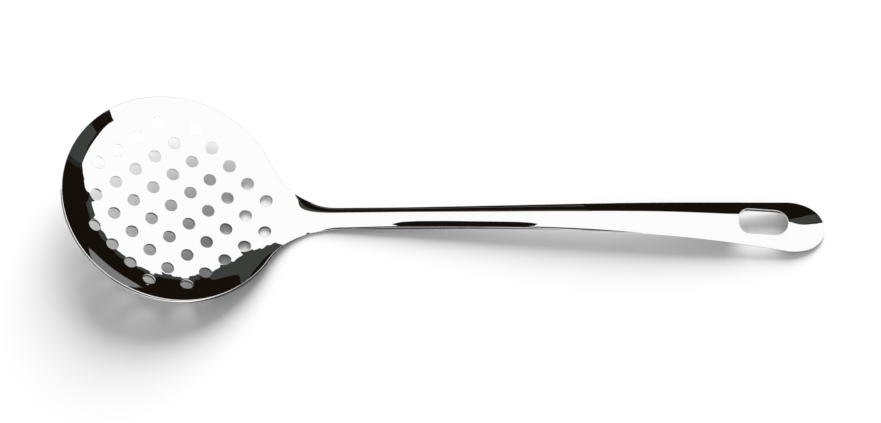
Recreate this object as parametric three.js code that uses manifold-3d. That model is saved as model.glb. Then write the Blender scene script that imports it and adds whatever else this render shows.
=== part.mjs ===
// A kitchen skimmer pressed from one sheet of stainless steel: a shallow round bowl full of drain
// holes, a filleted neck, and a long arched handle with an oblong slot to hang it by.
// Millimetres. +X runs from the bowl to the handle's end, +Z is up, and the tool lies on the plane
// z = 0 as it would on a table, on the underside of its bowl and on the end of its handle.

import * as THREE from 'three';
import { mergeVertices } from 'three/addons/utils/BufferGeometryUtils.js';
import Module from 'manifold-3d';

// The sheet
const sheetThickness = 1.5;
const edgeRoundness = 0.45; // how far the tumbled edge stands out

// The bowl: a flat floor, a soft bend, and a wall that runs straight up to the rim
const bowlRadius = 50.2;
const bowlFloorRadius = 27;
const bowlBendRadius = 47; // distance from the bowl's centre where the wall has its full slope
const bowlDepth = 7.7;
const bowlTiltDeg = 15.3; // the rim plane leans towards the handle

// The drain holes: staggered rows inside a circle
const drainHoleDiameter = 5.6;
const drainPitchAlong = 17; // between holes of one row
const drainPitchAcross = 7.8; // between neighbouring rows
const drainFieldRadius = 42.5;
const drainFieldOffset = 3.5; // centre of the field, from the bowl's centre towards the handle
const drainRowOffset = 1; // the hole of the middle row that lies nearest the bowl's centre

// The neck, where the bowl's rim is drawn in to the handle and its edges turn down
const neckFilletRadius = 34;
const neckWidth = 11.4;
const neckCrownDrop = 13.3; // top of the neck below the centre of the rim
const neckSectionDepth = 3.4;
const neckFlowStart = 30; // distance from the bowl's centre where the floor starts to flow out
const neckRimStart = 50; // distance from the bowl's centre where the rim leaves its plane
const shoulderLipStart = 26; // distance from the bowl's centre where the edge starts to turn down
const neckFoldStart = 46; // distance from the bowl's centre where the two turned edges start to meet
const neckFoldEnd = 62; // and where they have met in one fold along the middle line

// The handle: a gutter with its hollow side down
const handleReach = 290.7; // from the bowl's centre to the handle's end
const handleSectionDepth = 4;
const handleDepthRun = 35; // length over which the section reaches its full depth
const handleRiseSlope = 0.075; // slope of the handle as it leaves the neck
const handleRiseRun = 95; // how strongly that slope is held
const handleFallSlope = 0.14; // slope of the handle as it comes down to its end
const handleFallRun = 70;
const handleEndDrop = 10.9; // top of the handle's widest place below the centre of the rim

// The handle's width, as seen from above
const handleWaistWidth = 10.6; // what the sides aim for between the neck and the grip
const handleWaistRun = 79;
const gripWidth = 24.4;
const gripFlareSlope = 0.097;
const gripFlareRun = 57;
const gripEndLength = 16; // rounded end beyond the widest place
const gripEndFullness = 2.2; // 2 would be an ellipse, more is squarer

// The hanging slot
const slotLength = 22;
const slotWidth = 12.2;
const slotInnerCornerRadius = 4.8;
const slotEndMargin = 16.4; // from the slot to the handle's end

// The finish: bare steel, polished bright
const steelColour = 0xc8cbce;
const steelRoughness = 0.12;

// How finely curves are divided
const bowlStations = 21;
const neckStations = 9;
const handleStations = 15;
const endStations = 6;
const halfWidthSteps = 7;
const drainHoleSides = 16;
const drainPunchLengths = 5; // a punch's length, in thicknesses of the sheet
const slotCornerSteps = 6;
const fineBeforeFillet = 4; // the neck's close stations start this far before its fillet
const fineAfterNeck = 8; // and end this far beyond its narrowest place
const smallStep = 0.01; // for directions taken between two near places
const searchSteps = 40;
const settlingTurns = 6;

const tilt = THREE.MathUtils.degToRad(bowlTiltDeg);
const rimEndX = -Math.cos(tilt) * bowlRadius;

// Where the fillet of the neck starts on the bowl's circle and ends on the handle's side
const neckHalf = neckWidth / 2;
const filletCentreY = neckHalf + neckFilletRadius;
const neckStation = Math.sqrt((bowlRadius + neckFilletRadius) ** 2 - filletCentreY ** 2);
const filletStart = (neckStation * bowlRadius) / (bowlRadius + neckFilletRadius);
const neckX = neckStation / Math.cos(tilt) - neckCrownDrop * Math.tan(tilt);

// The handle's own outline and side view are Bezier curves over its length
const gripX = handleReach - gripEndLength;
const gripStation = neckStation + gripX - neckX;
const endStation = gripStation + gripEndLength;

const sideView = new THREE.CubicBezierCurve(
  new THREE.Vector2(neckX, -neckCrownDrop),
  new THREE.Vector2(neckX + handleRiseRun, -neckCrownDrop + handleRiseRun * handleRiseSlope),
  new THREE.Vector2(gripX - handleFallRun, -handleEndDrop + handleFallRun * handleFallSlope),
  new THREE.Vector2(gripX, -handleEndDrop),
);

const sideOutline = new THREE.CubicBezierCurve(
  new THREE.Vector2(neckX, neckHalf),
  new THREE.Vector2(neckX + handleWaistRun, handleWaistWidth / 2),
  new THREE.Vector2(gripX - gripFlareRun, gripWidth / 2 - gripFlareRun * gripFlareSlope),
  new THREE.Vector2(gripX, gripWidth / 2),
);

// The y of a curve where it passes x; x grows all along the curve
function heightAt(curve, x) {
  let low = 0;
  let high = 1;
  for (let step = 0; step < searchSteps; step += 1) {
    const middle = (low + high) / 2;
    if (curve.getPoint(middle).x < x) {
      low = middle;
    } else {
      high = middle;
    }
  }
  return curve.getPoint((low + high) / 2).y;
}

// A smooth curve from one point to another with a given direction at each
function flow(from, fromSlope, to, toSlope, share) {
  const third = 1 / 3;
  const curve = new THREE.CubicBezierCurve(
    from,
    from.clone().addScaledVector(fromSlope, third),
    to.clone().addScaledVector(toSlope, -third),
    to,
  );
  return curve.getPoint(share);
}

// A point given in the bowl's tilted plane: distance towards the handle, and height above the rim
function fromBowl(along, height) {
  return new THREE.Vector2(
    along * Math.cos(tilt) + height * Math.sin(tilt),
    -along * Math.sin(tilt) + height * Math.cos(tilt),
  );
}

// Rise of the bowl's wall above its floor, for a wall of slope 1: its slope grows smoothly along
// the bend, and this is the sum of it
function wallRise(radius) {
  const bend = bowlBendRadius - bowlFloorRadius;
  const share = THREE.MathUtils.clamp((radius - bowlFloorRadius) / bend, 0, 1);
  return bend * (share ** 3 - share ** 4 / 2) + Math.max(0, radius - bowlBendRadius);
}

function bowlHeight(along, across) {
  return bowlDepth * (wallRise(Math.hypot(along, across)) / wallRise(bowlRadius) - 1);
}

// Half the tool's width at a station, measured along the tool from the bowl's centre
function halfWidth(station) {
  if (station < filletStart) {
    return Math.sqrt(Math.max(0, bowlRadius ** 2 - station ** 2));
  }
  if (station < neckStation) {
    return filletCentreY - Math.sqrt(neckFilletRadius ** 2 - (neckStation - station) ** 2);
  }
  if (station < gripStation) {
    return heightAt(sideOutline, neckX + station - neckStation);
  }
  const share = Math.min(1, (station - gripStation) / gripEndLength);
  return (gripWidth / 2) * (1 - share ** gripEndFullness) ** (1 / gripEndFullness);
}

// Side view of the handle's top line, carried on at its last slope over the rounded end
function handleTop(station) {
  const x = neckX + station - neckStation;
  if (x > gripX) {
    return new THREE.Vector2(x, -handleEndDrop - handleFallSlope * (x - gripX));
  }
  return new THREE.Vector2(x, heightAt(sideView, x));
}

function sectionDepth(station) {
  const share = THREE.MathUtils.smoothstep(station, neckStation, neckStation + handleDepthRun);
  const turnedDown = THREE.MathUtils.smoothstep(station, shoulderLipStart, neckStation);
  return turnedDown * THREE.MathUtils.lerp(neckSectionDepth, handleSectionDepth, share);
}

// The direction of a curve of stations, over a given run
function slopeOf(curve, station, run) {
  const ahead = curve(station + smallStep);
  const behind = curve(station - smallStep);
  return ahead.sub(behind).multiplyScalar(run / (2 * smallStep));
}

// Side view of a line of the bowl that leaves it at a station and runs smoothly into the neck
function drawnIn(bowlLine, leaving, station) {
  if (station <= leaving) {
    return bowlLine(station);
  }
  const run = neckStation - leaving;
  return flow(
    bowlLine(leaving),
    slopeOf(bowlLine, leaving, run),
    handleTop(neckStation),
    new THREE.Vector2(run, run * handleRiseSlope),
    (station - leaving) / run,
  );
}

const floorLine = (station) => drawnIn(
  (along) => fromBowl(along, bowlHeight(along, 0)),
  neckFlowStart,
  station,
);

const rimLine = (station) => drawnIn((along) => fromBowl(along, 0), neckRimStart, station);

// How far the bowl's section has risen from the middle line to the rim, from 0 to 1
function wallShare(station, across) {
  const half = halfWidth(station);
  const asParabola = Math.min(1, Math.abs(across) / half) ** 2;
  if (station >= filletStart) {
    return asParabola;
  }
  const middle = bowlHeight(station, 0);
  const asBowl = (bowlHeight(station, across) - middle) / (bowlHeight(station, half) - middle);
  const blend = THREE.MathUtils.smoothstep(station, neckFlowStart, filletStart);
  return THREE.MathUtils.lerp(asBowl, asParabola, blend);
}

// Distance from the bowl's or the neck's outline inwards
function insetOfBowl(station, across) {
  const toFilletX = neckStation - station;
  const toFilletY = filletCentreY - Math.abs(across);
  if (Math.abs(across) * neckStation > station * filletCentreY) {
    return bowlRadius - Math.hypot(station, across);
  }
  return Math.hypot(toFilletX, toFilletY) - neckFilletRadius;
}

// How near a place is to the edge: 0 where the section is level, 1 on the edge. The bowl's edges turn
// down by themselves; further on they meet, and the neck is folded along its middle line.
function edgeReach(station, across) {
  if (station < neckStation) {
    const asLip = THREE.MathUtils.clamp(1 - insetOfBowl(station, across) / neckHalf, 0, 1);
    const asFold = Math.min(1, Math.abs(across) / halfWidth(station));
    const folded = THREE.MathUtils.smoothstep(station, neckFoldStart, neckFoldEnd);
    return THREE.MathUtils.lerp(asLip, asFold, folded);
  }
  const reach = Math.abs(across) / halfWidth(Math.min(station, gripStation));
  const onward = Math.max(0, station - gripStation) / gripEndLength;
  const both = (reach ** gripEndFullness + onward ** gripEndFullness) ** (1 / gripEndFullness);
  return Math.min(1, both);
}

// How far the sheet has turned down where it nears its edge: an arc over the handle's section
function turnDown(station, across) {
  const depth = sectionDepth(station);
  if (depth === 0) {
    return 0;
  }
  const half = station < neckStation ? neckHalf : halfWidth(Math.min(station, gripStation));
  const radius = (half ** 2 + depth ** 2) / (2 * depth);
  const away = half * edgeReach(station, across);
  return radius - Math.sqrt(radius ** 2 - away ** 2);
}

// The sheet before its edges turn down
function pressedLevel(station, across) {
  if (station <= neckFlowStart) {
    return fromBowl(station, bowlHeight(station, across));
  }
  if (station >= neckStation) {
    return handleTop(station);
  }
  return floorLine(station).lerp(rimLine(station), wallShare(station, across));
}

// A point of the sheet's upper face
function upperFace(station, across) {
  const level = pressedLevel(station, across);
  return new THREE.Vector3(level.x, across, level.y - turnDown(station, across));
}

// Direction of the upper face towards the outside of a place near it
function faceNormal(station, across) {
  const edge = 2 * smallStep;
  const s = THREE.MathUtils.clamp(station, -bowlRadius + edge, endStation - edge);
  const room = Math.max(0, halfWidth(s) - edge);
  const a = THREE.MathUtils.clamp(across, -room, room);
  const alongTool = upperFace(s + smallStep, a).sub(upperFace(s - smallStep, a));
  const acrossTool = upperFace(s, a + smallStep).sub(upperFace(s, a - smallStep));
  return alongTool.cross(acrossTool).normalize();
}

// Stations along the tool, closer together towards its two round ends
function stationList() {
  const stations = [];
  const neckStart = filletStart - fineBeforeFillet;
  const neckEnd = neckStation + fineAfterNeck;
  const lastAngle = Math.acos(-neckStart / bowlRadius);
  for (let i = 0; i < bowlStations; i += 1) {
    stations.push(-bowlRadius * Math.cos((lastAngle * i) / bowlStations));
  }
  for (let i = 0; i < neckStations; i += 1) {
    stations.push(THREE.MathUtils.lerp(neckStart, neckEnd, i / neckStations));
  }
  for (let i = 0; i < handleStations; i += 1) {
    stations.push(THREE.MathUtils.lerp(neckEnd, gripStation, i / handleStations));
  }
  for (let i = 0; i <= endStations; i += 1) {
    stations.push(gripStation + gripEndLength * Math.sin((Math.PI / 2) * (i / endStations)));
  }
  return stations;
}

// Triangles between two rows of vertex numbers; a row of one number is a tip
function joinRows(faces, lower, upper) {
  const steps = Math.max(lower.length, upper.length) - 1;
  for (let j = 0; j < steps; j += 1) {
    const a = lower[Math.min(j, lower.length - 1)];
    const b = upper[Math.min(j, upper.length - 1)];
    const c = upper[Math.min(j + 1, upper.length - 1)];
    const d = lower[Math.min(j + 1, lower.length - 1)];
    if (b !== c) {
      faces.push(a, b, c);
    }
    if (a !== d) {
      faces.push(a, c, d);
    }
  }
}

// The blank's outline as plan points, in order round the tool, for the rows of stations
function outlineOf(rows) {
  const far = rows.map((row) => row[row.length - 1]);
  const near = rows.slice(1, -1).map((row) => row[0]);
  return [...near, ...far.reverse()];
}

// The whole pressed sheet before it is pierced, as a closed body
function pressedSheet() {
  const rows = stationList().map((station, i, all) => {
    if (i === 0 || i === all.length - 1) {
      return [{ station, across: 0 }];
    }
    const half = halfWidth(station);
    const row = [];
    for (let j = -halfWidthSteps; j <= halfWidthSteps; j += 1) {
      row.push({ station, across: half * Math.sin((Math.PI / 2) * (j / halfWidthSteps)) });
    }
    return row;
  });

  const positions = [];
  const addPoint = (point) => {
    positions.push(point.x, point.y, point.z);
    return positions.length / 3 - 1;
  };
  const points = rows.flat();
  points.forEach((point) => {
    point.face = upperFace(point.station, point.across);
    point.normal = faceNormal(point.station, point.across);
    point.top = addPoint(point.face);
    point.bottom = addPoint(point.face.clone().addScaledVector(point.normal, -sheetThickness));
  });

  const faces = [];
  for (let i = 0; i + 1 < rows.length; i += 1) {
    const tops = [rows[i], rows[i + 1]].map((row) => row.map((point) => point.top));
    const bottoms = [rows[i], rows[i + 1]].map((row) => row.map((point) => point.bottom));
    joinRows(faces, tops[0], tops[1]);
    joinRows(faces, bottoms[1], bottoms[0]);
  }

  // The tumbled edge stands out a little, halfway between the two faces
  const outline = outlineOf(rows);
  const count = outline.length;
  outline.forEach((point, i) => {
    const before = outline[(i + count - 1) % count].face;
    const after = outline[(i + 1) % count].face;
    const out = after.clone().sub(before).cross(point.normal).normalize();
    const middle = point.face.clone().addScaledVector(point.normal, -sheetThickness / 2);
    point.middle = addPoint(middle.addScaledVector(out, edgeRoundness));
  });
  outline.forEach((point, i) => {
    const next = outline[(i + 1) % count];
    joinRows(faces, [next.top, next.middle, next.bottom], [point.top, point.middle, point.bottom]);
  });

  const geometry = new THREE.BufferGeometry();
  geometry.setAttribute('position', new THREE.Float32BufferAttribute(positions, 3));
  geometry.setIndex(faces);
  return geometry;
}

// Centres of the drain holes in the bowl's plane: every other place of a rectangular grid
function drainHoleCentres() {
  const centres = [];
  const stepAlong = drainPitchAlong / 2;
  const reach = Math.ceil((2 * bowlRadius) / Math.min(stepAlong, drainPitchAcross));
  for (let row = -reach; row <= reach; row += 1) {
    for (let place = -reach; place <= reach; place += 1) {
      const along = drainRowOffset + place * stepAlong;
      const across = row * drainPitchAcross;
      const inField = Math.hypot(along - drainFieldOffset, across) < drainFieldRadius;
      if (inField && (row + place) % 2 === 0) {
        centres.push({ along, across });
      }
    }
  }
  return centres;
}

// A punch through the bowl, square to the sheet where it goes through
function drainPunch({ along, across }) {
  const radius = drainHoleDiameter / 2;
  const length = drainPunchLengths * sheetThickness;
  const punch = new THREE.CylinderGeometry(radius, radius, length, drainHoleSides);
  const axis = new THREE.Vector3(0, 1, 0);
  punch.applyQuaternion(
    new THREE.Quaternion().setFromUnitVectors(axis, faceNormal(along, across)),
  );
  const centre = upperFace(along, across);
  punch.translate(centre.x, centre.y, centre.z);
  return punch;
}

// A punch for the hanging slot: round towards the handle's end, with small corners inwards
function slotPunch() {
  const half = slotWidth / 2;
  const corner = Math.min(slotInnerCornerRadius, half);
  const outerX = handleReach - slotEndMargin;
  const innerX = outerX - slotLength;
  const quarter = Math.PI / 2;
  const shape = new THREE.Shape();
  shape.absarc(outerX - half, 0, half, -quarter, quarter);
  shape.absarc(innerX + corner, half - corner, corner, quarter, 2 * quarter);
  shape.absarc(innerX + corner, corner - half, corner, 2 * quarter, 3 * quarter);
  const depth = 2 * (handleEndDrop + handleSectionDepth + sheetThickness);
  const punch = new THREE.ExtrudeGeometry(shape, {
    depth,
    bevelEnabled: false,
    curveSegments: slotCornerSteps,
  });
  punch.translate(0, 0, -depth);
  return punch;
}

const wasm = await Module();
wasm.setup();

function toSolid(geometry) {
  const bare = geometry.clone();
  bare.deleteAttribute('normal');
  bare.deleteAttribute('uv');
  const merged = mergeVertices(bare);
  return new wasm.Manifold(new wasm.Mesh({
    numProp: 3,
    vertProperties: new Float32Array(merged.attributes.position.array),
    triVerts: new Uint32Array(merged.index.array),
  }));
}

function toGeometry(solid) {
  const mesh = solid.getMesh();
  const geometry = new THREE.BufferGeometry();
  geometry.setAttribute('position', new THREE.Float32BufferAttribute(mesh.vertProperties, 3));
  geometry.setIndex(Array.from(mesh.triVerts));
  return geometry;
}

// The lowest vertex on one side of a given x
function lowestVertex(geometry, isOnSide) {
  const position = geometry.attributes.position;
  const lowest = new THREE.Vector3(0, 0, Infinity);
  const vertex = new THREE.Vector3();
  for (let i = 0; i < position.count; i += 1) {
    vertex.fromBufferAttribute(position, i);
    if (isOnSide(vertex.x) && vertex.z < lowest.z) {
      lowest.copy(vertex);
    }
  }
  return lowest;
}

// Turns the tool about Y until bowl and handle's end touch the table, and centres it on its origin
function layOnTable(geometry) {
  const middleX = (rimEndX + handleReach) / 2;
  for (let step = 0; step < settlingTurns; step += 1) {
    const underBowl = lowestVertex(geometry, (x) => x < middleX);
    const underEnd = lowestVertex(geometry, (x) => x > middleX);
    geometry.rotateY(Math.atan2(underEnd.z - underBowl.z, underEnd.x - underBowl.x));
  }
  geometry.computeBoundingBox();
  const box = geometry.boundingBox;
  geometry.translate(-(box.min.x + box.max.x) / 2, 0, -box.min.z);
}

function skimmerBody() {
  let body = toSolid(pressedSheet());
  drainHoleCentres().forEach((centre) => {
    body = body.subtract(toSolid(drainPunch(centre)));
  });
  body = body.subtract(toSolid(slotPunch()));
  const geometry = toGeometry(body);
  layOnTable(geometry);
  geometry.computeVertexNormals();
  const steel = new THREE.MeshStandardMaterial({
    color: steelColour,
    roughness: steelRoughness,
    metalness: 1,
  });
  const mesh = new THREE.Mesh(geometry, steel);
  mesh.name = 'skimmer_body';
  return mesh;
}

const skimmer = new THREE.Group();
skimmer.add(skimmerBody());

export default skimmer;
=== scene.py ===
# %% [markdown]
# # A pressed steel kitchen skimmer
#
# The tool is one sheet of stainless steel: a shallow bowl full of drain holes, a filleted neck and a
# long arched handle with a slot to hang it by. Its CAD model is right in shape but made of flat
# facets, and a mirror finish shows each facet. This lesson presses the same sheet again, finely, from
# the same driving sizes, and polishes it. It starts by loading the CAD model as a fixed frame.

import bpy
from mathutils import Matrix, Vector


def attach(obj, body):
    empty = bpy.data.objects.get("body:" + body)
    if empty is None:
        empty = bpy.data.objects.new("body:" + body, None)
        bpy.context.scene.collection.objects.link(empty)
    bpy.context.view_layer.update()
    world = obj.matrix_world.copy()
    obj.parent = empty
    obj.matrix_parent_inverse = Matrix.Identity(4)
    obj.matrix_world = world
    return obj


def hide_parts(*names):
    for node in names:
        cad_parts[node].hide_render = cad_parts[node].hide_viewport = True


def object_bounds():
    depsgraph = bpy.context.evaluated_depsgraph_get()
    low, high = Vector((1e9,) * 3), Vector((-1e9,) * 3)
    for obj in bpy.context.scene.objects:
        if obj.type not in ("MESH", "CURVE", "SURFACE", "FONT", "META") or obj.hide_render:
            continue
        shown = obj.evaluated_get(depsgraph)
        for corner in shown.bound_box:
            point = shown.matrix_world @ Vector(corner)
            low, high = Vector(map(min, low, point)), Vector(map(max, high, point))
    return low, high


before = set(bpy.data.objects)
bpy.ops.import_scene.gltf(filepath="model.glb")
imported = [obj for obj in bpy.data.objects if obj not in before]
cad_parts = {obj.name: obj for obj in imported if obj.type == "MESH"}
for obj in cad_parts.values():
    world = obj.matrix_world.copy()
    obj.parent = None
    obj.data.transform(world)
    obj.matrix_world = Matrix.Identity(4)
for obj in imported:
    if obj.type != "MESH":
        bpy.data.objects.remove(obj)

cad_low, cad_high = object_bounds()
print("CAD box, mm:", [round(1000 * (h - l), 1) for l, h in zip(cad_low, cad_high)])

# %% Helpers from Blender and Python
import math
from functools import lru_cache

import bmesh
import bpy
from mathutils import Matrix, Vector

MM = 0.001

# %% [markdown]
# ## The sizes of the sheet
#
# A designer thinks of the skimmer in a few numbers: the bowl's radius and depth, the lean of its rim,
# the pitch of the drain holes, and the handle's width and arch. Everything else follows from them.
# They are written in millimetres and turned into Blender's metres once, here.

# %% Driving sizes of the bowl
sheet_thickness = 1.5 * MM
edge_bulge = 0.18 * MM

bowl_radius = 50.2 * MM
bowl_floor_radius = 27 * MM
bowl_bend_radius = 47 * MM
bowl_depth = 7.7 * MM
bowl_tilt = math.radians(15.3)

drain_hole_radius = 2.8 * MM
drain_step_along = 8.5 * MM
drain_step_across = 7.8 * MM
drain_field_radius = 42.5 * MM
drain_field_offset = 3.5 * MM
drain_row_offset = 1 * MM

# %% Driving sizes of the neck and the handle
neck_fillet_radius = 34 * MM
neck_half = 5.7 * MM
neck_drop = 13.3 * MM
neck_section_depth = 3.4 * MM
neck_flow_start = 30 * MM
neck_rim_start = 50 * MM
shoulder_lip_start = 26 * MM
neck_fold_start = 43 * MM
neck_fold_end = 58 * MM
shoulder_fullness = 3.2

handle_reach = 290.7 * MM
handle_section_depth = 4 * MM
handle_depth_run = 35 * MM
handle_rise_slope = 0.075
handle_rise_run = 95 * MM
handle_fall_slope = 0.14
handle_fall_run = 70 * MM
handle_end_drop = 10.9 * MM
handle_waist_half = 5.3 * MM
handle_waist_run = 79 * MM

grip_half = 12.2 * MM
grip_flare_slope = 0.097
grip_flare_run = 57 * MM
grip_end_length = 16 * MM
grip_end_fullness = 2.2

slot_length = 22 * MM
slot_half = 6.1 * MM
slot_inner_corner = 4.8 * MM
slot_end_margin = 16.4 * MM

# %% [markdown]
# ## Where the bowl turns into the handle
#
# Seen from above, the bowl is a circle and the handle a narrow strip, and a fillet joins them. The
# fillet touches the circle on one side and the strip on the other, so its centre is found like the
# corner of a triangle. The handle's side view and its outline are two Bezier curves.

# %% Meeting points of bowl, neck and handle
fillet_centre_y = neck_half + neck_fillet_radius
neck_station = math.sqrt((bowl_radius + neck_fillet_radius) ** 2 - fillet_centre_y ** 2)
fillet_start = neck_station * bowl_radius / (bowl_radius + neck_fillet_radius)
neck_x = neck_station / math.cos(bowl_tilt) - neck_drop * math.tan(bowl_tilt)
grip_x = handle_reach - grip_end_length
grip_station = neck_station + grip_x - neck_x
end_station = grip_station + grip_end_length
print("neck at, mm:", round(neck_station / MM, 1), " end at:", round(end_station / MM, 1))


# %% Curves that the outline and the side view follow
curve_halvings = 40


def bezier(points, share):
    """A point of the cubic Bezier curve through four control points."""
    a, b, c, d = points
    rest = 1 - share
    return a * rest ** 3 + 3 * b * rest ** 2 * share + 3 * c * rest * share ** 2 + d * share ** 3


def height_at(points, x):
    """The height of a curve where it passes x; x grows all along it."""
    low, high = 0.0, 1.0
    for _ in range(curve_halvings):
        middle = (low + high) / 2
        if bezier(points, middle).x < x:
            low = middle
        else:
            high = middle
    return bezier(points, low).y


def smooth_step(value, start, stop):
    share = min(1, max(0, (value - start) / (stop - start)))
    return share * share * (3 - 2 * share)


side_view = [
    Vector((neck_x, -neck_drop)),
    Vector((neck_x + handle_rise_run, -neck_drop + handle_rise_run * handle_rise_slope)),
    Vector((grip_x - handle_fall_run, -handle_end_drop + handle_fall_run * handle_fall_slope)),
    Vector((grip_x, -handle_end_drop)),
]
side_outline = [
    Vector((neck_x, neck_half)),
    Vector((neck_x + handle_waist_run, handle_waist_half)),
    Vector((grip_x - grip_flare_run, grip_half - grip_flare_run * grip_flare_slope)),
    Vector((grip_x, grip_half)),
]

# %% [markdown]
# ## The upper face of the sheet
#
# Every place on the sheet has two numbers: its station, measured along the tool from the bowl's
# centre, and how far it lies across. One function turns them into a point in space. It blends three
# lines in side view: the bowl's floor, the bowl's rim, and the crown of the handle.


# %% Lines in side view
def from_bowl(along, height):
    """A place in the bowl's leaning plane, seen from the side."""
    return Vector((
        along * math.cos(bowl_tilt) + height * math.sin(bowl_tilt),
        height * math.cos(bowl_tilt) - along * math.sin(bowl_tilt),
    ))


def wall_rise(radius):
    """How far the wall has risen, for a wall of slope 1 whose slope grows smoothly over the bend."""
    bend = bowl_bend_radius - bowl_floor_radius
    share = min(1, max(0, (radius - bowl_floor_radius) / bend))
    return bend * (share ** 3 - share ** 4 / 2) + max(0, radius - bowl_bend_radius)


def bowl_height(along, across):
    return bowl_depth * (wall_rise(math.hypot(along, across)) / wall_rise(bowl_radius) - 1)


@lru_cache(maxsize=None)
def handle_top(station):
    x = neck_x + station - neck_station
    if x > grip_x:
        return Vector((x, -handle_end_drop - handle_fall_slope * (x - grip_x)))
    return Vector((x, height_at(side_view, x)))


@lru_cache(maxsize=None)
def half_width(station):
    """Half the tool's width, seen from above."""
    if station < fillet_start:
        return math.sqrt(max(0, bowl_radius ** 2 - station ** 2))
    if station < neck_station:
        return fillet_centre_y - math.sqrt(neck_fillet_radius ** 2 - (neck_station - station) ** 2)
    if station < grip_station:
        return height_at(side_outline, neck_x + station - neck_station)
    share = min(1, (station - grip_station) / grip_end_length)
    return grip_half * (1 - share ** grip_end_fullness) ** (1 / grip_end_fullness)


def drawn_in(bowl_line, leaving, station):
    """A line of the bowl that leaves it at a station and runs smoothly into the neck."""
    if station <= leaving:
        return bowl_line(station)
    run = neck_station - leaving
    tiny = 0.01 * MM
    direction = (bowl_line(leaving + tiny) - bowl_line(leaving - tiny)) * run / (2 * tiny)
    start = bowl_line(leaving)
    stop = handle_top(neck_station)
    stop_direction = Vector((run, run * handle_rise_slope))
    controls = [start, start + direction / 3, stop - stop_direction / 3, stop]
    return bezier(controls, (station - leaving) / run)


@lru_cache(maxsize=None)
def floor_line(station):
    return drawn_in(lambda along: from_bowl(along, bowl_height(along, 0)), neck_flow_start, station)


@lru_cache(maxsize=None)
def rim_line(station):
    return drawn_in(lambda along: from_bowl(along, 0), neck_rim_start, station)


# %% How the section rises to the rim
def wall_share(station, across):
    """0 on the middle line, 1 on the rim."""
    half = half_width(station)
    as_trough = min(1, abs(across) / half) ** shoulder_fullness
    if station >= fillet_start:
        return as_trough
    middle = bowl_height(station, 0)
    as_bowl = (bowl_height(station, across) - middle) / (bowl_height(station, half) - middle)
    blend = smooth_step(station, neck_flow_start, fillet_start)
    return as_bowl + (as_trough - as_bowl) * blend


# %% How the edges turn down
def section_depth(station):
    share = smooth_step(station, neck_station, neck_station + handle_depth_run)
    turned = smooth_step(station, shoulder_lip_start, neck_station)
    return turned * (neck_section_depth + (handle_section_depth - neck_section_depth) * share)


def edge_reach(station, across):
    """How near a place is to the edge: 0 where the section is level, 1 on the edge."""
    across = abs(across)
    if station < neck_station:
        if across * neck_station > station * fillet_centre_y:
            inset = bowl_radius - math.hypot(station, across)
        else:
            inset = math.hypot(neck_station - station, fillet_centre_y - across) - neck_fillet_radius
        as_lip = min(1, max(0, 1 - inset / neck_half))
        as_fold = min(1, across / half_width(station))
        return as_lip + (as_fold - as_lip) * smooth_step(station, neck_fold_start, neck_fold_end)
    reach = across / half_width(min(station, grip_station))
    onward = max(0, station - grip_station) / grip_end_length
    both = reach ** grip_end_fullness + onward ** grip_end_fullness
    return min(1, both ** (1 / grip_end_fullness))


def turn_down(station, across):
    depth = section_depth(station)
    if depth == 0:
        return 0
    half = neck_half if station < neck_station else half_width(min(station, grip_station))
    radius = (half ** 2 + depth ** 2) / (2 * depth)
    return radius - math.sqrt(radius ** 2 - (half * edge_reach(station, across)) ** 2)


# %% A point of the upper face
def upper_face(station, across):
    if station <= neck_flow_start:
        level = from_bowl(station, bowl_height(station, across))
    elif station >= neck_station:
        level = handle_top(station)
    else:
        level = floor_line(station).lerp(rim_line(station), wall_share(station, across))
    return Vector((level.x, across, level.y - turn_down(station, across)))


print("bowl floor below the rim, mm:", round(-upper_face(0, 0).z / MM, 2))

# %% [markdown]
# ## The drain holes
#
# The holes stand in staggered rows inside a circle. Each hole sits in the middle of a rectangular
# cell, and the cells lie like the black squares of a chess board, so no two cells share a side. That
# makes it easy to cut them: each cell is opened and closed again with rings around a round hole.

# %% Centres of the drain holes
drain_holes = []
places = math.ceil(bowl_radius / drain_step_across) + 1
for row in range(-places, places + 1):
    for place in range(-places, places + 1):
        along = drain_row_offset + place * drain_step_along
        across = row * drain_step_across
        in_field = math.hypot(along - drain_field_offset, across) < drain_field_radius
        if in_field and (row + place) % 2 == 0:
            drain_holes.append((along, across))
print("drain holes:", len(drain_holes))

# %% [markdown]
# ## The blank
#
# A press starts from a flat blank. Here the blank is a grid whose rows and columns are spaced so
# that the cells of the drain holes fall exactly on grid lines. The columns keep their pitch over the
# drilled part and are drawn together beyond it, so that the last column always runs along the edge.

# %% Rows and columns of the blank
cell_divisions = 10
half_columns = 65
column_pitch = drain_step_across / cell_divisions
row_pitch = drain_step_along / cell_divisions
field_start = min(along for along, across in drain_holes) - drain_step_along / 2
field_end = max(along for along, across in drain_holes) + drain_step_along / 2
slot_outer_station = end_station - slot_end_margin
slot_inner_station = slot_outer_station - slot_length
slot_block_margin = 3.5 * MM
slot_block_columns = 48

toe_rows = 18
handle_rows = 96
slot_rows = 30
end_rows = 12


def spread(start, stop, count):
    return [start + (stop - start) * i / count for i in range(count)]


toe_angle = math.acos(-field_start / bowl_radius)
field_rows = round((field_end - field_start) / row_pitch)
slot_block_end = slot_outer_station + slot_block_margin
stations = [-bowl_radius * math.cos(toe_angle * i / toe_rows) for i in range(toe_rows)]
stations += spread(field_start, field_end, field_rows)
stations += spread(field_end, slot_inner_station - slot_block_margin, handle_rows)
stations += spread(slot_inner_station - slot_block_margin, slot_block_end, slot_rows)
stations += [
    slot_block_end + (end_station - slot_block_end) * math.sin(math.pi / 2 * i / end_rows)
    for i in range(end_rows + 1)
]
print("rows:", len(stations), " columns:", 2 * half_columns + 1)


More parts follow.
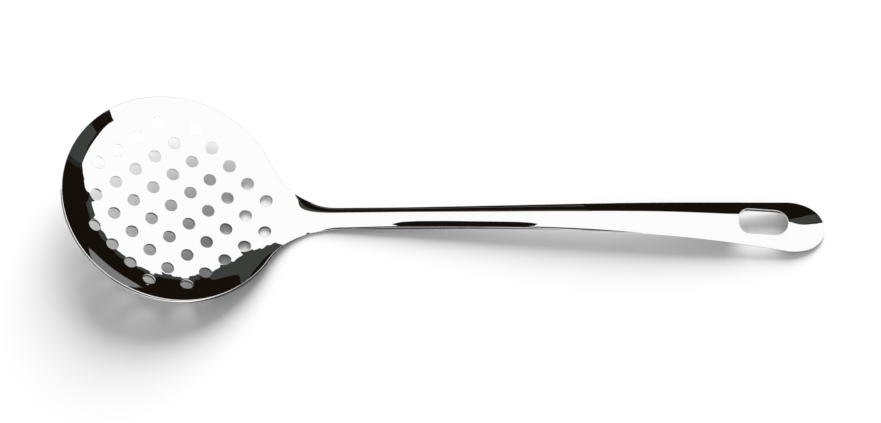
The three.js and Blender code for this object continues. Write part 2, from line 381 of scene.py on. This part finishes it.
# %% Where a column crosses a row
@lru_cache(maxsize=None)
def straight_reach(station):
    """Half the width over which the columns keep their pitch: the drilled cells that touch a row."""
    reach = 0
    for along, across in drain_holes:
        if abs(station - along) < drain_step_along / 2 + row_pitch / 2:
            reach = max(reach, across + drain_step_across / 2)
    return reach


def column_across(station, column):
    flat = abs(column) * column_pitch
    straight = straight_reach(station)
    if flat > straight:
        share = (flat - straight) / (half_columns * column_pitch - straight)
        flat = straight + (half_width(station) - straight) * share
    return math.copysign(flat, column)


# %% Lay out the blank
merge_distance = 0.0001 * MM
blank = bmesh.new()
bmesh.ops.create_grid(blank, x_segments=len(stations) - 1, y_segments=2 * half_columns, size=1)
for vert in blank.verts:
    row = round((vert.co.x + 1) / 2 * (len(stations) - 1))
    column = round(vert.co.y * half_columns)
    vert.co = Vector((stations[row], column_across(stations[row], column), 0))
bmesh.ops.remove_doubles(blank, verts=blank.verts, dist=merge_distance)
print("blank faces:", len(blank.faces))


# %% [markdown]
# ## Punching
#
# A punch takes a block of faces out of the blank. The block's border is then extruded inwards and
# each new vertex is slid along its ray onto the outline of the hole, which gives clean rings. A
# Boolean would cut the same holes, but it leaves long thin faces that show in a mirror finish.

# %% Punch one hole
def punch(sheet, centre, in_block, reach, rings):
    """Opens a block of faces and closes it again up to reach(direction) from the centre."""
    block = [face for face in sheet.faces if in_block(face.calc_center_median() - centre)]
    inside = set(block)
    border = [
        edge for face in block for edge in face.edges
        if sum(linked in inside for linked in edge.link_faces) == 1
    ]
    bmesh.ops.delete(sheet, geom=block, context="FACES")
    made = bmesh.ops.extrude_edge_only(sheet, edges=border)["geom"]
    ring = [item for item in made if isinstance(item, bmesh.types.BMVert)]
    for vert in ring:
        direction = (vert.co - centre).normalized()
        vert.co = centre + direction * reach(direction)
    spokes = [
        edge for vert in ring for edge in vert.link_edges
        if edge.other_vert(vert) not in ring
    ]
    bmesh.ops.subdivide_edges(sheet, edges=spokes, cuts=rings)
    return len(ring)


# %% Punch the drain holes
hole_reach = drain_hole_radius + edge_bulge
hole_rings = 3


def in_cell(away):
    return abs(away.x) < drain_step_along / 2 and abs(away.y) < drain_step_across / 2


def drain_edge(centre):
    """The outline that becomes a round hole once the wall of the bowl is pressed."""
    def reach(direction):
        ahead, behind = centre + direction * hole_reach, centre - direction * hole_reach
        pressed = upper_face(ahead.x, ahead.y) - upper_face(behind.x, behind.y)
        return hole_reach * 2 * hole_reach / pressed.length
    return reach


for along, across in drain_holes:
    centre = Vector((along, across, 0))
    corners = punch(blank, centre, in_cell, drain_edge(centre), hole_rings)
print("corners of each drain hole:", corners)


# %% Punch the hanging slot
slot_halvings = 30


def in_slot(point):
    """Round towards the handle's end, with small corners towards the bowl."""
    half = slot_half + edge_bulge
    x, y = point.x, abs(point.y)
    outer = slot_outer_station + edge_bulge
    inner = slot_inner_station - edge_bulge
    corner = slot_inner_corner + edge_bulge
    if x > outer - half:
        return math.hypot(x - (outer - half), y) < half
    if x < inner + corner and y > half - corner:
        return math.hypot(inner + corner - x, y - (half - corner)) < corner
    return x > inner and y < half


def slot_reach(direction):
    low, high = 0.0, slot_length
    for _ in range(slot_halvings):
        middle = (low + high) / 2
        if in_slot(slot_centre + direction * middle):
            low = middle
        else:
            high = middle
    return low


slot_centre = Vector(((slot_inner_station + slot_outer_station) / 2, 0, 0))


def in_slot_block(away):
    """The columns run with the handle's sides, so the block is a share of the width."""
    in_rows = abs(away.x) < slot_length / 2 + slot_block_margin
    return in_rows and abs(away.y) < half_width(slot_centre.x + away.x) * slot_block_columns / half_columns


corners = punch(blank, slot_centre, in_slot_block, slot_reach, hole_rings)
print("corners of the slot:", corners)

# %% [markdown]
# ## Pressing
#
# The press gives the flat blank its form: each vertex goes to its place on the upper face. A punch
# also draws the sheet down a little around each hole, and in a polished bowl those dimples bend every
# reflection, so they matter more than their depth of a twentieth of a millimetre suggests.

# %% Press the blank
dimple_depth = 0.05 * MM
dimple_width = 0.9 * MM
edge_inset = 0.25
bowl_normal = Vector((math.sin(bowl_tilt), 0, math.cos(bowl_tilt)))


def dimple(station, across):
    """How far the sheet is drawn down by the nearest drain hole."""
    if station > field_end:
        return 0
    nearest = min(math.hypot(station - along, across - away) for along, away in drain_holes)
    beyond = max(0, nearest - hole_reach) / dimple_width
    return dimple_depth * math.exp(-beyond * beyond)


def pressed(station, across):
    return upper_face(station, across) - bowl_normal * dimple(station, across)


def upwards(place):
    """Square to the pressed sheet, from four places close by."""
    near = 0.05 * MM
    along = pressed(place.x + near, place.y) - pressed(place.x - near, place.y)
    aside = pressed(place.x, place.y + near) - pressed(place.x, place.y - near)
    return along.cross(aside).normalized()


up_layer = blank.verts.layers.float_vector.new("up")
for vert in blank.verts:
    place = vert.co
    if vert.is_boundary:
        inner = [face.calc_center_median() for face in vert.link_faces]
        place = place.lerp(sum(inner, Vector()) / len(inner), edge_inset)
    vert[up_layer] = upwards(place)
for vert in blank.verts:
    vert.co = pressed(vert.co.x, vert.co.y)
bmesh.ops.recalc_face_normals(blank, faces=blank.faces)
if sum(face.normal.z for face in blank.faces) < 0:
    bmesh.ops.reverse_faces(blank, faces=blank.faces)
print("lowest and highest place, mm:",
      round(min(vert.co.z for vert in blank.verts) / MM, 2),
      round(max(vert.co.z for vert in blank.verts) / MM, 2))

# %% [markdown]
# ## Thickness and tumbled edges
#
# Solidify would give the sheet its thickness, and Bevel its rounded edges, but a bevel needs room
# beside each edge and the columns are close together there. So the free edges are extruded step by
# step round a squarish arc, down to a second, reversed copy of the sheet. Four layers on the
# vertices remember the start, the way out, the way up and the side while the edge is rolled.

# %% Remember the way out of each free edge
edge_steps = 8
edge_squareness = 0.72
start_layer = blank.verts.layers.float_vector.new("start")
out_layer = blank.verts.layers.float_vector.new("out")
side_layer = blank.verts.layers.int.new("side")
for vert in blank.verts:
    vert[start_layer] = vert.co
    vert[side_layer] = 1
for vert in blank.verts:
    if vert.is_boundary:
        free = [edge.other_vert(vert).co for edge in vert.link_edges if edge.is_boundary]
        along_edge = (free[0] - free[1]).normalized()
        out = sum((vert.co - face.calc_center_median() for face in vert.link_faces), Vector())
        out -= along_edge * out.dot(along_edge)
        out -= vert[up_layer] * out.dot(vert[up_layer])
        vert[out_layer] = out.normalized()

# %% Copy the sheet downwards and roll its edges
free_edges = [edge for edge in blank.edges if edge.is_boundary]
copied = bmesh.ops.duplicate(blank, geom=blank.verts[:] + blank.edges[:] + blank.faces[:])["geom"]
for item in copied:
    if isinstance(item, bmesh.types.BMVert):
        item.co = item[start_layer] - item[up_layer] * sheet_thickness
        item[side_layer] = -1
bmesh.ops.reverse_faces(blank, faces=[item for item in copied if isinstance(item, bmesh.types.BMFace)])


def squared(value):
    return math.copysign(abs(value) ** edge_squareness, value)


for step in range(1, edge_steps + 1):
    turn = math.pi * step / edge_steps
    made = bmesh.ops.extrude_edge_only(blank, edges=free_edges)["geom"]
    free_edges = [item for item in made if isinstance(item, bmesh.types.BMEdge)]
    free_edges = [edge for edge in free_edges if edge.is_boundary]
    for item in made:
        if isinstance(item, bmesh.types.BMVert):
            down = item[up_layer] * sheet_thickness / 2 * (1 - squared(math.cos(turn)))
            item.co = item[start_layer] + item[out_layer] * edge_bulge * squared(math.sin(turn)) - down
            item[side_layer] = 0

bmesh.ops.remove_doubles(blank, verts=blank.verts, dist=10 * merge_distance)
bmesh.ops.recalc_face_normals(blank, faces=blank.faces)
open_edges = sum(not edge.is_manifold for edge in blank.edges)
print("faces:", len(blank.faces), " open edges:", open_edges,
      " volume, cm3:", round(blank.calc_volume() * 1e6, 2))

# %% [markdown]
# ## Laying it on the table
#
# The tool rests on the underside of its bowl and on the end of its handle. It is turned about Y by
# the small angle between those two lowest places and then moved into the middle of the CAD box.


# %% Lay the sheet on the table
def lowest(sheet, low_x, high_x):
    return min((vert.co for vert in sheet.verts if low_x < vert.co.x < high_x), key=lambda co: co.z)


middle_x = (handle_reach - bowl_radius) / 2
settling_turns = 6
for _ in range(settling_turns):
    under_bowl = lowest(blank, -bowl_radius, middle_x)
    under_end = lowest(blank, middle_x, handle_reach * 2)
    lean = math.atan2(under_end.z - under_bowl.z, under_end.x - under_bowl.x)
    bmesh.ops.rotate(blank, verts=blank.verts, cent=(0, 0, 0), matrix=Matrix.Rotation(lean, 3, "Y"))

floor_z = min(vert.co.z for vert in blank.verts)
low_x = min(vert.co.x for vert in blank.verts)
high_x = max(vert.co.x for vert in blank.verts)
to_table = Vector(((cad_low[0] + cad_high[0]) / 2 - (low_x + high_x) / 2, 0, cad_low[2] - floor_z))
bmesh.ops.translate(blank, verts=blank.verts, vec=to_table)

# %% Draw the fine sheet in to the CAD box
# The fine sheet stands up to 0.4 mm past its faceted twin, so it is drawn in to the same box.
drawn = [
    (cad_high[axis] - cad_low[axis])
    / (max(vert.co[axis] for vert in blank.verts) - min(vert.co[axis] for vert in blank.verts))
    for axis in range(3)
]
bmesh.ops.scale(blank, verts=blank.verts, vec=drawn)
print("drawn in to:", [round(share, 4) for share in drawn])

# %% [markdown]
# ## Exact normals
#
# Smooth shading takes each vertex's normal from the faces round it. That is good enough for paint, but
# a mirror doubles every error, and the edge of a reflection gets ragged beside the holes. The press
# knows the surface exactly, so its own normals are written into the mesh as custom normals. Only the
# rolled edge keeps the averaged ones.

# %% Make the piece
skimmer_mesh = bpy.data.meshes.new("polished_skimmer")
blank.normal_update()
shading = [
    vert[up_layer] * vert[side_layer] if vert[side_layer] else vert.normal.copy()
    for vert in blank.verts
]
blank.to_mesh(skimmer_mesh)
blank.free()
for layer_name in ("start", "out", "up", "side"):
    skimmer_mesh.attributes.remove(skimmer_mesh.attributes[layer_name])
skimmer_mesh.shade_smooth()
skimmer_mesh.normals_split_custom_set_from_vertices(shading)
skimmer = bpy.data.objects.new("polished_skimmer", skimmer_mesh)
bpy.context.scene.collection.objects.link(skimmer)
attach(skimmer, "root")
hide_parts("skimmer_body")
skimmer_mesh.calc_loop_triangles()
print("triangles:", len(skimmer_mesh.loop_triangles))

# %% [markdown]
# ## The polished steel
#
# Mirror-polished steel has hardly a colour of its own: it shows its surroundings. What makes it look
# like metal that is used is small: the polish is a little uneven, and fine wiping marks blur it here
# and there. One Principled shader with full metallic does this, with two noises on its roughness and
# a very faint bump.


# %% Polished steel
def polished_steel():
    steel = bpy.data.materials.new("polished_steel")
    steel.use_nodes = True
    nodes, links = steel.node_tree.nodes, steel.node_tree.links
    shader = nodes["Principled BSDF"]
    shader.inputs["Base Color"].default_value = (0.97, 0.97, 0.97, 1)
    shader.inputs["Metallic"].default_value = 1

    place = nodes.new("ShaderNodeTexCoord")
    clouds = nodes.new("ShaderNodeTexNoise")
    clouds.inputs["Scale"].default_value = 60
    clouds.inputs["Detail"].default_value = 5
    links.new(place.outputs["Object"], clouds.inputs["Vector"])

    stretch = nodes.new("ShaderNodeMapping")
    stretch.inputs["Scale"].default_value = (40, 900, 900)
    wiping = nodes.new("ShaderNodeTexNoise")
    wiping.inputs["Scale"].default_value = 1
    wiping.inputs["Detail"].default_value = 3
    links.new(place.outputs["Object"], stretch.inputs["Vector"])
    links.new(stretch.outputs["Vector"], wiping.inputs["Vector"])

    both = nodes.new("ShaderNodeMath")
    both.operation = "MULTIPLY"
    links.new(clouds.outputs["Fac"], both.inputs[0])
    links.new(wiping.outputs["Fac"], both.inputs[1])

    polish = nodes.new("ShaderNodeMapRange")
    polish.inputs["From Min"].default_value = 0.1
    polish.inputs["From Max"].default_value = 0.4
    polish.inputs["To Min"].default_value = 0.008
    polish.inputs["To Max"].default_value = 0.025
    links.new(both.outputs["Value"], polish.inputs["Value"])
    links.new(polish.outputs["Result"], shader.inputs["Roughness"])

    bump = nodes.new("ShaderNodeBump")
    bump.inputs["Strength"].default_value = 0.05
    bump.inputs["Distance"].default_value = 0.02 * MM
    links.new(wiping.outputs["Fac"], bump.inputs["Height"])
    links.new(bump.outputs["Normal"], shader.inputs["Normal"])
    return steel


skimmer_mesh.materials.append(polished_steel())

# %% [markdown]
# ## The table and the studio
#
# The table is a pale sheet that keeps the tool's soft shadow. A mirror shows what stands round it, so
# the studio matters as much as the steel: it is white all over, and a few dark cards stand round the
# tool, out of the camera's sight. They give the polished sheet its black reflections.


# %% Rays that see the studio itself
def sees_white(nodes, links):
    """1 for rays from the camera, off a mirror or through glass, 0 for rays that carry light."""
    rays = nodes.new("ShaderNodeLightPath")
    seen = rays.outputs["Is Camera Ray"]
    for name in ("Is Glossy Ray", "Is Transmission Ray"):
        either = nodes.new("ShaderNodeMath")
        either.operation = "MAXIMUM"
        links.new(seen, either.inputs[0])
        links.new(rays.outputs[name], either.inputs[1])
        seen = either.outputs["Value"]
    return seen


def lerp_node(nodes, links, share, at_zero, at_one):
    """A number that goes from one value to another with a share."""
    between = nodes.new("ShaderNodeMapRange")
    between.inputs["To Min"].default_value = at_zero
    between.inputs["To Max"].default_value = at_one
    links.new(share, between.inputs["Value"])
    return between.outputs["Result"]


# %% Table
table_size = 8.0
table_tone = 0.88
bpy.ops.mesh.primitive_plane_add(size=table_size, location=(0, 0, cad_low[2]))
table = bpy.context.object
table.name = "table_top"

table_paint = bpy.data.materials.new("white_table")
table_paint.use_nodes = True
nodes, links = table_paint.node_tree.nodes, table_paint.node_tree.links
nodes.remove(nodes["Principled BSDF"])
matt = nodes.new("ShaderNodeBsdfDiffuse")
matt.inputs["Color"].default_value = (table_tone, table_tone, table_tone, 1)
links.new(matt.outputs["BSDF"], nodes["Material Output"].inputs["Surface"])
table.data.materials.append(table_paint)

# %% White studio
light_level, seen_level = 0.5, 1.0
studio = bpy.data.worlds.new("white_studio")
bpy.context.scene.world = studio
studio.use_nodes = True
nodes, links = studio.node_tree.nodes, studio.node_tree.links
backdrop = nodes["Background"]
backdrop.inputs["Color"].default_value = (1, 1, 1, 1)
strength = lerp_node(nodes, links, sees_white(nodes, links), light_level, seen_level)
links.new(strength, backdrop.inputs["Strength"])
print("world for light:", light_level, " seen:", seen_level)

# %% [markdown]
# ## Cards for the mirror
#
# Polished metal in a white studio would vanish, so a photographer stands black cards round it. A card
# is a flat sheet that glows faintly in its own tone, because a glow keeps its tone whatever light
# falls on it. Only mirrors see the cards: they are hidden from the camera and from the rays that light
# the table. The outline of a card becomes the outline of a dark reflection, and it is found by
# following rays from the steel to the card's plane. A card's top and foot therefore bend from post to
# post.


# %% Cards
mat_height = 0.2


def stand_in_studio(name, sheet, tone):
    """Makes a flat card of one tone that only mirrors see."""
    mesh = bpy.data.meshes.new(name)
    sheet.to_mesh(mesh)
    sheet.free()
    paint = bpy.data.materials.new(name)
    paint.use_nodes = True
    nodes, links = paint.node_tree.nodes, paint.node_tree.links
    nodes.remove(nodes["Principled BSDF"])
    glow = nodes.new("ShaderNodeEmission")
    glow.inputs["Color"].default_value = (*tone, 1)
    links.new(glow.outputs["Emission"], nodes["Material Output"].inputs["Surface"])
    mesh.materials.append(paint)
    made = bpy.data.objects.new(name, mesh)
    bpy.context.scene.collection.objects.link(made)
    made.visible_camera = False
    made.visible_diffuse = False
    made.visible_shadow = False
    made.visible_transmission = False
    made.visible_volume_scatter = False


def card(name, tone, *posts):
    """An upright card from post to post; a post is its x and y, its foot and its top, in millimetres."""
    sheet = bmesh.new()
    bmesh.ops.create_grid(sheet, x_segments=len(posts) - 1, y_segments=1, size=1)
    for vert in sheet.verts:
        x, y, foot, top = posts[round((vert.co.x + 1) / 2 * (len(posts) - 1))]
        vert.co = Vector((x, y, top if vert.co.y > 0 else foot)) * MM
    stand_in_studio(name, sheet, tone)


def mat(name, tone, low_x, high_x, low_y, high_y):
    """A card that lies on the table."""
    sheet = bmesh.new()
    bmesh.ops.create_grid(sheet, x_segments=1, y_segments=1, size=1)
    for vert in sheet.verts:
        x = high_x if vert.co.x > 0 else low_x
        y = high_y if vert.co.y > 0 else low_y
        vert.co = Vector((x, y, mat_height)) * MM
    stand_in_studio(name, sheet, tone)


# %% Dark cards behind the bowl
black = (0.008, 0.005, 0.003)
dusk = (0.02, 0.02, 0.018)
charcoal = (0.045, 0.05, 0.045)
slate = (0.06, 0.06, 0.06)
grey = (0.2, 0.2, 0.2)
white = (1, 1, 1)
back = 143
card("behind_bowl", black,
     (-170, back, 9, 74), (-105, back, 9, 78), (-90, back, 9, 96), (-60, back, 9, 112),
     (0, back, 9, 115), (60, back, 9, 125))
card("behind_bowl_top", charcoal,
     (-170, back, 74, 132), (-120, back, 76, 132), (-105, back, 78, 143), (-90, back, 96, 145),
     (-45, back, 112, 135), (0, back, 115, 176), (60, back, 125, 180))
card("behind_bowl_foot", grey, (-170, back, 0, 9), (60, back, 0, 9))

# %% A narrow card far to the right, for the bowl's far wall
far = 260
card("far_right", black,
     (far, 190, 60, 200), (far, 175, 50, 178), (far, 160, 50, 162), (far, 148, 52, 156),
     (far, 135, 82, 143), (far, 125, 94, 140), (far, 100, 112, 150), (far, 60, 136, 166),
     (far, 20, 155, 184), (far, -20, 181, 203), (far, -42, 194, 217), (far, -60, 208, 232),
     (far, -72, 218, 242))
card("far_right_glow", charcoal,
     (far - 1, 125, 92, 137), (far - 1, 118, 99, 140), (far - 1, 88, 118, 150), (far - 1, 75, 126, 150),
     (far - 1, 60, 136, 152), (far - 1, 25, 157, 170), (far - 1, 3, 173, 180))
card("far_right_dusk", dusk,
     (far - 1, 148, 50, 152), (far - 1, 135, 80, 140), (far - 1, 125, 92, 137))

# %% A white card in front of it, so that the handle's end doesn't see the far card
screen = 225
card("before_far_right", white,
     (screen, 60, 107, 113), (screen, 57, 101, 116), (screen, 50, 82, 119), (screen, 46, 63, 121),
     (screen, 44, 0, 122), (screen, 20, 0, 134), (screen, 0, 0, 146), (screen, -60, 0, 182))

# %% Dark cards behind the handle
card("behind_handle", black,
     (60, back, 0, 170), (110, back, 0, 147), (165, back, 0, 147), (187, back, 0, 118), (206, back, 0, 126),
     (262, back, 0, 135))
mat("under_back", black, -60, 330, 15, back)
end = 60
card("at_end", black,
     (160, end, 0, 31), (170, end, 0, 56), (180, end, 0, 84), (190, end, 0, 106), (215, end, 0, 112),
     (228, end, 0, 107), (236, end, 4, 101), (243, end, 34, 88), (248, end, 57, 68))
card("at_end_glow", charcoal,
     (183, end - 1, 76, 86), (190, end - 1, 64, 98), (197, end - 1, 48, 105), (202, end - 1, 8, 107),
     (215, end - 1, 4, 108), (228, end - 1, 10, 102), (236, end - 1, 24, 94))

# %% Cards in front
front = -60
card("in_front", black,
     (-31, front, 36, 68), (-26, front, 16, 83), (-12, front, 7, 82), (0, front, 5, 74),
     (12, front, 5, 70), (24, front, 8, 67), (31, front, 14, 58), (36, front, 24, 46))
card("low_left", grey, (-900, 300, 0, 330), (-700, -350, 0, 330), (-350, -350, 0, 200))
card("low_in_front", slate,
     (-350, -350, 0, 200), (-150, -350, 0, 80), (250, -350, 0, 60), (700, -300, 0, 100), (900, 0, 0, 150),
     (900, 300, 0, 150))
# This slate mat on the table in front is a painted shadow: only mirrors see it, and it stands in for the
# tool's own shadow on the table, which the rolled edges of the rim and the neck show as grey lines.
mat("painted_shadow_mat_in_front", slate, -200, 200, -90, -3)

# %% [markdown]
# ## The key light
#
# One large soft light stands behind the tool and throws its shadow towards the camera. A sun whose
# disc is very wide gives the same soft shadow as a big window, and needs no place, only a direction.
# Mirrors don't see it: the white studio is already as bright as the picture can show.

# %% Key light
key = bpy.data.lights.new("key_light", "SUN")
key.energy = 3.2
key.angle = math.radians(46)
sun = bpy.data.objects.new("key_light", key)
bpy.context.scene.collection.objects.link(sun)
key_direction, key_height = math.radians(82), math.radians(40)
towards_key = Vector((math.cos(key_direction), math.sin(key_direction), math.tan(key_height)))
sun.rotation_euler = (-towards_key).to_track_quat("-Z", "Y").to_euler()
sun.visible_glossy = False
print("key light, degrees up:", round(math.degrees(math.atan(towards_key.z))))

# %% [markdown]
# ## The camera
#
# A long lens from high in front keeps the tool nearly free of perspective. The camera's place is
# given as a photographer would say it: what it looks at, how steeply, from how far and how wide.

# %% Camera
picture_width = 881
view_steepness = math.radians(63.01)
view_turn = math.radians(1.5)
view_distance = 2300 * MM
pixels_per_metre = 2240.1
look_at = Vector((-1.5, 1.4, 8)) * MM

camera_data = bpy.data.cameras.new("camera")
camera_data.sensor_width = 36
camera_data.lens = pixels_per_metre * view_distance / picture_width * camera_data.sensor_width
camera_data.clip_end = 20
camera = bpy.data.objects.new("camera", camera_data)
bpy.context.scene.collection.objects.link(camera)
bpy.context.scene.camera = camera
away = Vector((0, -math.cos(view_steepness), math.sin(view_steepness))) * view_distance
turn = Matrix.Rotation(view_turn, 3, "Z")
camera.location = turn @ (look_at + away)
camera.rotation_euler = (turn @ -away).to_track_quat("-Z", "Y").to_euler()
print("lens, mm:", round(camera_data.lens, 1))

# %% View settings
bpy.context.scene.view_settings.view_transform = "Standard"
